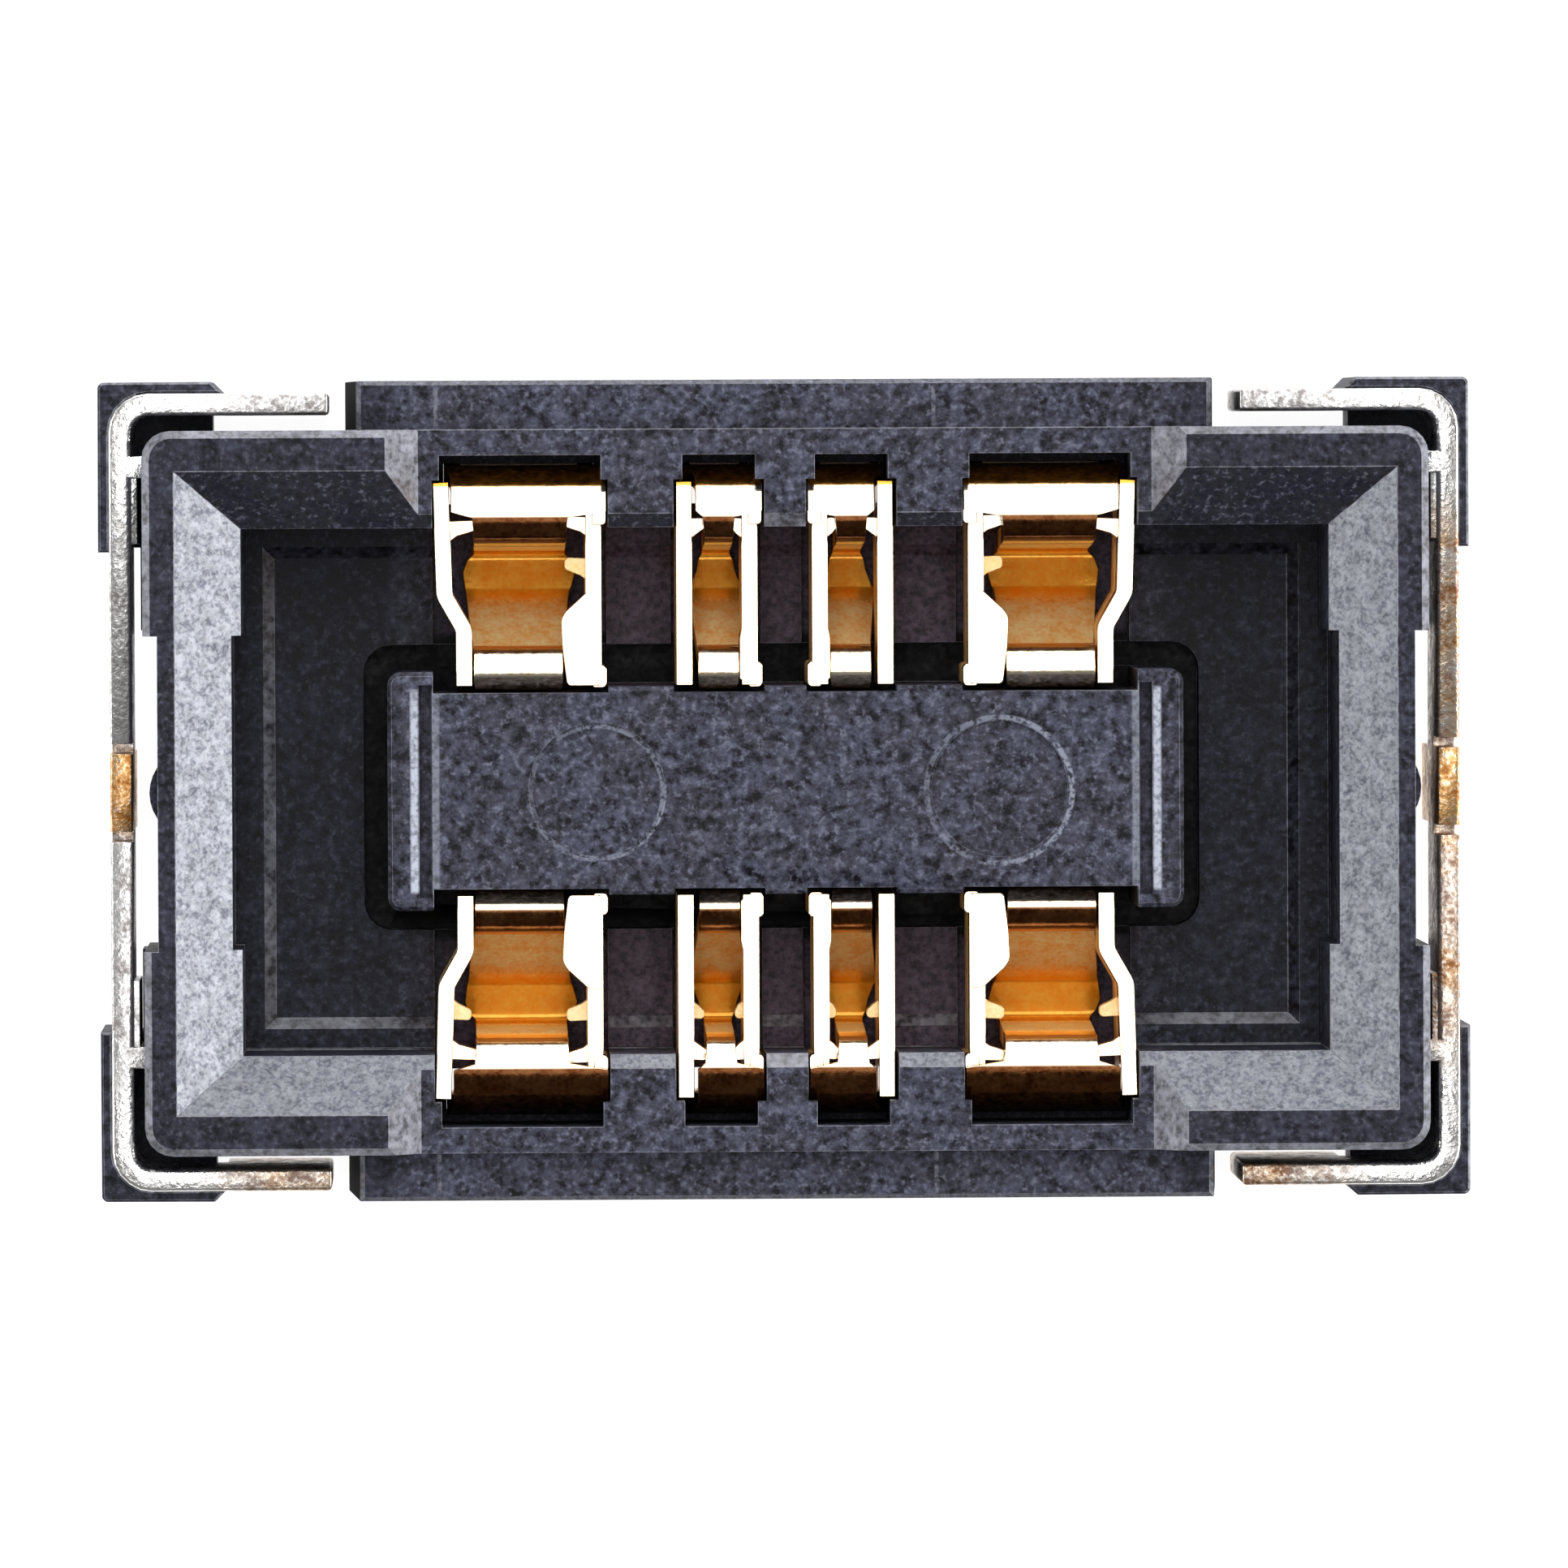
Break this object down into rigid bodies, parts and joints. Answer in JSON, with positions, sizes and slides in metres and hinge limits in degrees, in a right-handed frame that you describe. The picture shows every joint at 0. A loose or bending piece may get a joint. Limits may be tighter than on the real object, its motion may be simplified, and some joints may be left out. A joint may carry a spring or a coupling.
{
  "type": "board to board connector",
  "caption": "Low rectangular board to board connector receptacle with sloped end guides, a central island and two facing rows of spring contacts.",
  "frame": {"origin": "centre of the underside, level with the underside of the solder tails", "axes": "+X along the length, +Y towards the rear row of contacts, +Z towards the mating side"},
  "size_m": [0.0036, 0.0022, 0.0007],
  "materials": {
    "housing": "black moulded high-temperature plastic with a fine matt skin",
    "fitting": "plated sheet metal with bare sheared edges",
    "contact": "gold plated spring copper alloy, bright at the bends"
  },
  "bodies": {
    "root": {"housing": "housing", "end_fitting_left": "fitting", "end_fitting_right": "fitting", "power_contact_rear_left": "contact", "power_contact_rear_right": "contact", "power_contact_front_left": "contact", "power_contact_front_right": "contact", "signal_contact_rear_left": "contact", "signal_contact_rear_right": "contact", "signal_contact_front_left": "contact", "signal_contact_front_right": "contact"}
  },
  "joints": []
}
